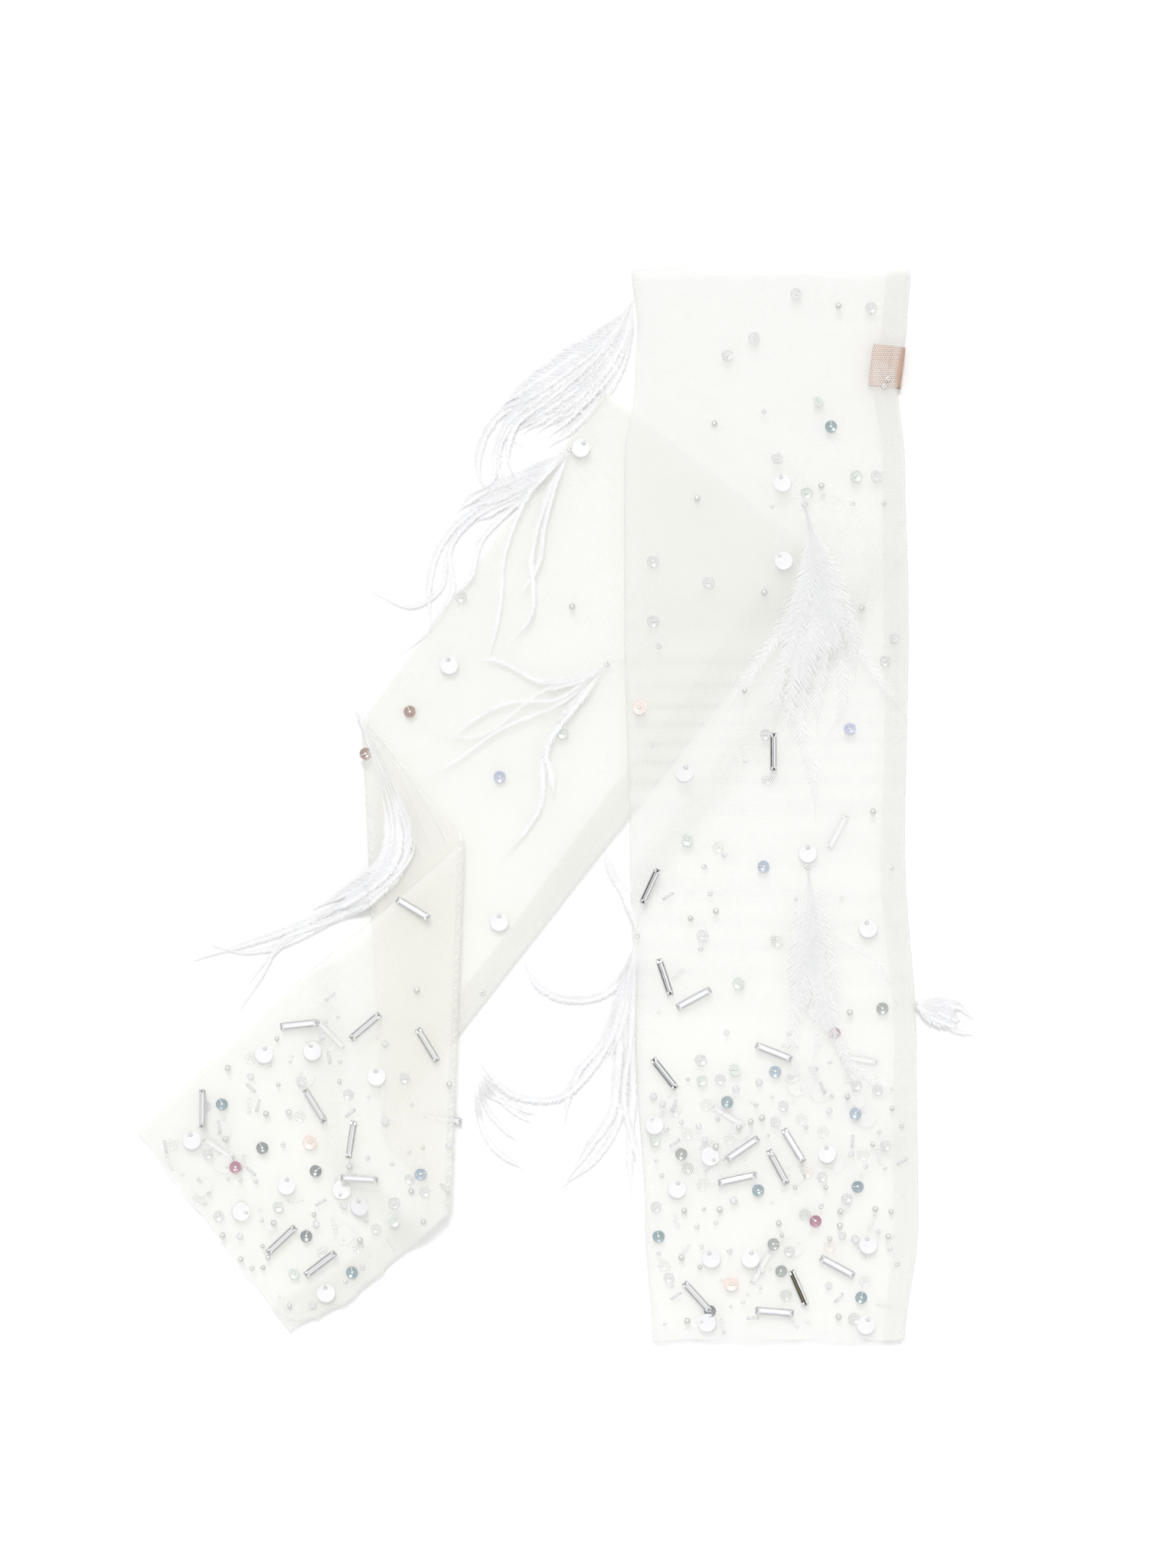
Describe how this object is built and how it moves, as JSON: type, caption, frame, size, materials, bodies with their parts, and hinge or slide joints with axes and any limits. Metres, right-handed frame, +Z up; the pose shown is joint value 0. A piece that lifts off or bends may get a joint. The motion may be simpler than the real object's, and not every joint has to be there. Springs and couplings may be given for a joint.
{
  "type": "pair of embellished sheer sleeves",
  "caption": "Pair of long sheer tulle sleeves laid flat, one folded at the elbow, sewn with feather tufts, paillettes, beads and baguette stones.",
  "frame": {"origin": "under the middle of the whole layout, on the surface it lies on", "axes": "+Z up; +Y towards the shoulder hem of the straight sleeve; +X to its right"},
  "size_m": [0.431, 0.563, 0.0194],
  "materials": {
    "tulle": "matte",
    "seam": "matte",
    "label": "satin",
    "feather": "matte",
    "crystal": "polished",
    "setting": "polished",
    "paillette": "satin",
    "sequin": "gloss",
    "pearl": "gloss"
  },
  "bodies": {
    "left_sleeve": {"left_sleeve_tube": "tulle", "left_side_seam": "seam", "left_baguette_01": "crystal", "left_baguette_02": "crystal", "left_baguette_03": "crystal", "left_baguette_04": "crystal", "left_baguette_05": "crystal", "left_baguette_06": "crystal", "left_baguette_07": "crystal", "left_baguette_08": "crystal", "left_baguette_09": "crystal", "left_baguette_10": "crystal"},
    "right_sleeve": {"right_sleeve_tube": "tulle", "right_side_seam": "seam", "right_baguette_01": "crystal", "right_baguette_02": "crystal", "right_baguette_03": "crystal", "right_baguette_04": "crystal", "right_baguette_05": "crystal", "right_baguette_06": "crystal", "right_baguette_07": "crystal", "right_baguette_08": "crystal", "right_baguette_09": "crystal", "right_baguette_10": "crystal", "right_baguette_11": "crystal", "right_baguette_12": "crystal", "right_baguette_13": "crystal", "right_baguette_14": "crystal"},
    "size_label": {"size_label": "label"},
    "left_paillette_01": {"left_paillette_01": "paillette"},
    "left_paillette_02": {"left_paillette_02": "paillette"},
    "left_paillette_03": {"left_paillette_03": "paillette"},
    "left_paillette_04": {"left_paillette_04": "paillette"},
    "left_paillette_05": {"left_paillette_05": "paillette"},
    "left_paillette_06": {"left_paillette_06": "paillette"},
    "left_paillette_07": {"left_paillette_07": "paillette"},
    "left_paillette_08": {"left_paillette_08": "paillette"},
    "left_paillette_09": {"left_paillette_09": "paillette"},
    "left_paillette_10": {"left_paillette_10": "paillette"},
    "right_paillette_01": {"right_paillette_01": "paillette"},
    "right_paillette_02": {"right_paillette_02": "paillette"},
    "right_paillette_03": {"right_paillette_03": "paillette"},
    "right_paillette_04": {"right_paillette_04": "paillette"},
    "right_paillette_05": {"right_paillette_05": "paillette"},
    "right_paillette_06": {"right_paillette_06": "paillette"},
    "right_paillette_07": {"right_paillette_07": "paillette"},
    "right_paillette_08": {"right_paillette_08": "paillette"},
    "right_paillette_09": {"right_paillette_09": "paillette"},
    "right_paillette_10": {"right_paillette_10": "paillette"},
    "right_feather_tuft_01": {"right_feather_tuft_01": "feather"},
    "left_feather_tuft_02": {"left_feather_tuft_02": "feather"},
    "left_feather_tuft_03": {"left_feather_tuft_03": "feather"},
    "left_feather_tuft_04": {"left_feather_tuft_04": "feather"},
    "right_feather_tuft_05": {"right_feather_tuft_05": "feather"},
    "right_feather_tuft_06": {"right_feather_tuft_06": "feather"},
    "right_feather_tuft_07": {"right_feather_tuft_07": "feather"},
    "right_feather_tuft_08": {"right_feather_tuft_08": "feather"},
    "left_feather_tuft_09": {"left_feather_tuft_09": "feather"}
  },
  "joints": [
    {"name": "right_sleeve_lift_off", "type": "slide", "parent": "left_sleeve", "child": "right_sleeve", "axis": [0, 0, 1], "range_m": [0, 0.12]},
    {"name": "label_flap", "type": "hinge", "parent": "right_sleeve", "child": "size_label", "pos_m": [0.17315, 0.23253, 0.0011], "axis": [0, 1, 0], "range_deg": [0, 12]},
    {"name": "left_paillette_01_lift", "type": "hinge", "parent": "left_sleeve", "child": "left_paillette_01", "pos_m": [0.01516, 0.19245, 0.00745], "axis": [-0.864, 0.4989, -0.0676], "range_deg": [0, 110]},
    {"name": "left_paillette_02_lift", "type": "hinge", "parent": "left_sleeve", "child": "left_paillette_02", "pos_m": [-0.05699, 0.07967, 0.00453], "axis": [-0.9848, -0.1737, -0.0052], "range_deg": [0, 110]},
    {"name": "left_paillette_03_lift", "type": "hinge", "parent": "left_sleeve", "child": "left_paillette_03", "pos_m": [-0.03002, -0.0546, 0.00451], "axis": [-1, 0, -0.0005], "range_deg": [0, 110]},
    {"name": "left_paillette_04_lift", "type": "hinge", "parent": "left_sleeve", "child": "left_paillette_04", "pos_m": [-0.12877, -0.12211, 0.00827], "axis": [-0.9434, -0.2528, -0.2146], "range_deg": [0, 110]},
    {"name": "left_paillette_05_lift", "type": "hinge", "parent": "left_sleeve", "child": "left_paillette_05", "pos_m": [-0.15194, -0.12364, 0.0073], "axis": [-0.9848, 0.1736, 0], "range_deg": [0, 110]},
    {"name": "left_paillette_06_lift", "type": "hinge", "parent": "left_sleeve", "child": "left_paillette_06", "pos_m": [-0.09417, -0.13483, 0.01517], "axis": [-0.9946, -0.087, 0.0571], "range_deg": [0, 110]},
    {"name": "left_paillette_07_lift", "type": "hinge", "parent": "left_sleeve", "child": "left_paillette_07", "pos_m": [-0.19157, -0.16871, 0.0073], "axis": [-0.9781, -0.2079, 0], "range_deg": [0, 110]},
    {"name": "left_paillette_08_lift", "type": "hinge", "parent": "left_sleeve", "child": "left_paillette_08", "pos_m": [-0.14069, -0.19227, 0.0073], "axis": [-0.9962, 0.0872, 0], "range_deg": [0, 110]},
    {"name": "left_paillette_09_lift", "type": "hinge", "parent": "left_sleeve", "child": "left_paillette_09", "pos_m": [-0.10332, -0.20313, 0.01012], "axis": [-0.9216, 0, -0.3881], "range_deg": [0, 110]},
    {"name": "left_paillette_10_lift", "type": "hinge", "parent": "left_sleeve", "child": "left_paillette_10", "pos_m": [-0.12105, -0.24854, 0.0073], "axis": [-0.9903, -0.1392, 0], "range_deg": [0, 110]},
    {"name": "right_paillette_01_lift", "type": "hinge", "parent": "right_sleeve", "child": "right_paillette_01", "pos_m": [0.11663, 0.17432, 0.01305], "axis": [-0.9548, -0.1683, 0.2451], "range_deg": [0, 110]},
    {"name": "right_paillette_02_lift", "type": "hinge", "parent": "right_sleeve", "child": "right_paillette_02", "pos_m": [0.06798, 0.0231, 0.01577], "axis": [-0.9559, 0.2561, 0.1439], "range_deg": [0, 110]},
    {"name": "right_paillette_03_lift", "type": "hinge", "parent": "right_sleeve", "child": "right_paillette_03", "pos_m": [0.13128, -0.01867, 0.0079], "axis": [-1, 0, 0], "range_deg": [0, 110]},
    {"name": "right_paillette_04_lift", "type": "hinge", "parent": "right_sleeve", "child": "right_paillette_04", "pos_m": [0.16176, -0.05798, 0.0079], "axis": [-0.9781, -0.2079, 0], "range_deg": [0, 110]},
    {"name": "right_paillette_05_lift", "type": "hinge", "parent": "right_sleeve", "child": "right_paillette_05", "pos_m": [0.06372, -0.194, 0.0079], "axis": [-0.9903, 0.1392, 0], "range_deg": [0, 110]},
    {"name": "right_paillette_06_lift", "type": "hinge", "parent": "right_sleeve", "child": "right_paillette_06", "pos_m": [0.1409, -0.17549, 0.0079], "axis": [-0.9962, -0.0872, 0], "range_deg": [0, 110]},
    {"name": "right_paillette_07_lift", "type": "hinge", "parent": "right_sleeve", "child": "right_paillette_07", "pos_m": [0.07923, -0.23065, 0.0079], "axis": [-0.9397, -0.342, 0], "range_deg": [0, 110]},
    {"name": "right_paillette_08_lift", "type": "hinge", "parent": "right_sleeve", "child": "right_paillette_08", "pos_m": [0.10234, -0.23046, 0.0079], "axis": [-0.9781, 0.2079, 0], "range_deg": [0, 110]},
    {"name": "right_paillette_09_lift", "type": "hinge", "parent": "right_sleeve", "child": "right_paillette_09", "pos_m": [0.16218, -0.22312, 0.0079], "axis": [-0.9903, -0.1392, 0], "range_deg": [0, 110]},
    {"name": "right_paillette_10_lift", "type": "hinge", "parent": "right_sleeve", "child": "right_paillette_10", "pos_m": [0.16343, -0.26537, 0.0079], "axis": [-0.9397, 0.342, 0], "range_deg": [0, 110]},
    {"name": "right_feather_tuft_01_lift", "type": "hinge", "parent": "right_sleeve", "child": "right_feather_tuft_01", "pos_m": [0.04417, 0.26473, 0.0079], "axis": [-0.7655, 0.6434, 0], "range_deg": [0, 60]},
    {"name": "left_feather_tuft_02_lift", "type": "hinge", "parent": "left_sleeve", "child": "left_feather_tuft_02", "pos_m": [0.00163, 0.18428, 0.00617], "axis": [-0.5854, 0.8107, 0], "range_deg": [0, 60]},
    {"name": "left_feather_tuft_03_lift", "type": "hinge", "parent": "left_sleeve", "child": "left_feather_tuft_03", "pos_m": [0.02695, 0.07504, 0.00725], "axis": [-0.3434, 0.9392, 0], "range_deg": [0, 60]},
    {"name": "left_feather_tuft_04_lift", "type": "hinge", "parent": "left_sleeve", "child": "left_feather_tuft_04", "pos_m": [-0.0972, 0.05013, 0.0045], "axis": [-0.8512, -0.5248, 0], "range_deg": [0, 60]},
    {"name": "right_feather_tuft_05_lift", "type": "hinge", "parent": "right_sleeve", "child": "right_feather_tuft_05", "pos_m": [0.12817, 0.15833, 0.0155], "axis": [-0.9868, -0.1621, 0], "range_deg": [0, 60]},
    {"name": "right_feather_tuft_06_lift", "type": "hinge", "parent": "right_sleeve", "child": "right_feather_tuft_06", "pos_m": [0.13147, -0.03319, 0.0079], "axis": [-0.991, -0.134, 0], "range_deg": [0, 60]},
    {"name": "right_feather_tuft_07_lift", "type": "hinge", "parent": "right_sleeve", "child": "right_feather_tuft_07", "pos_m": [0.04246, -0.06567, 0.0079], "axis": [-0.9519, 0.3065, 0], "range_deg": [0, 60]},
    {"name": "right_feather_tuft_08_lift", "type": "hinge", "parent": "right_sleeve", "child": "right_feather_tuft_08", "pos_m": [0.18334, -0.10487, 0.0079], "axis": [-0.2162, -0.9764, 0], "range_deg": [0, 60]},
    {"name": "left_feather_tuft_09_lift", "type": "hinge", "parent": "left_sleeve", "child": "left_feather_tuft_09", "pos_m": [-0.04995, -0.14016, 0.0106], "axis": [-0.7392, -0.6735, 0], "range_deg": [0, 60]}
  ]
}
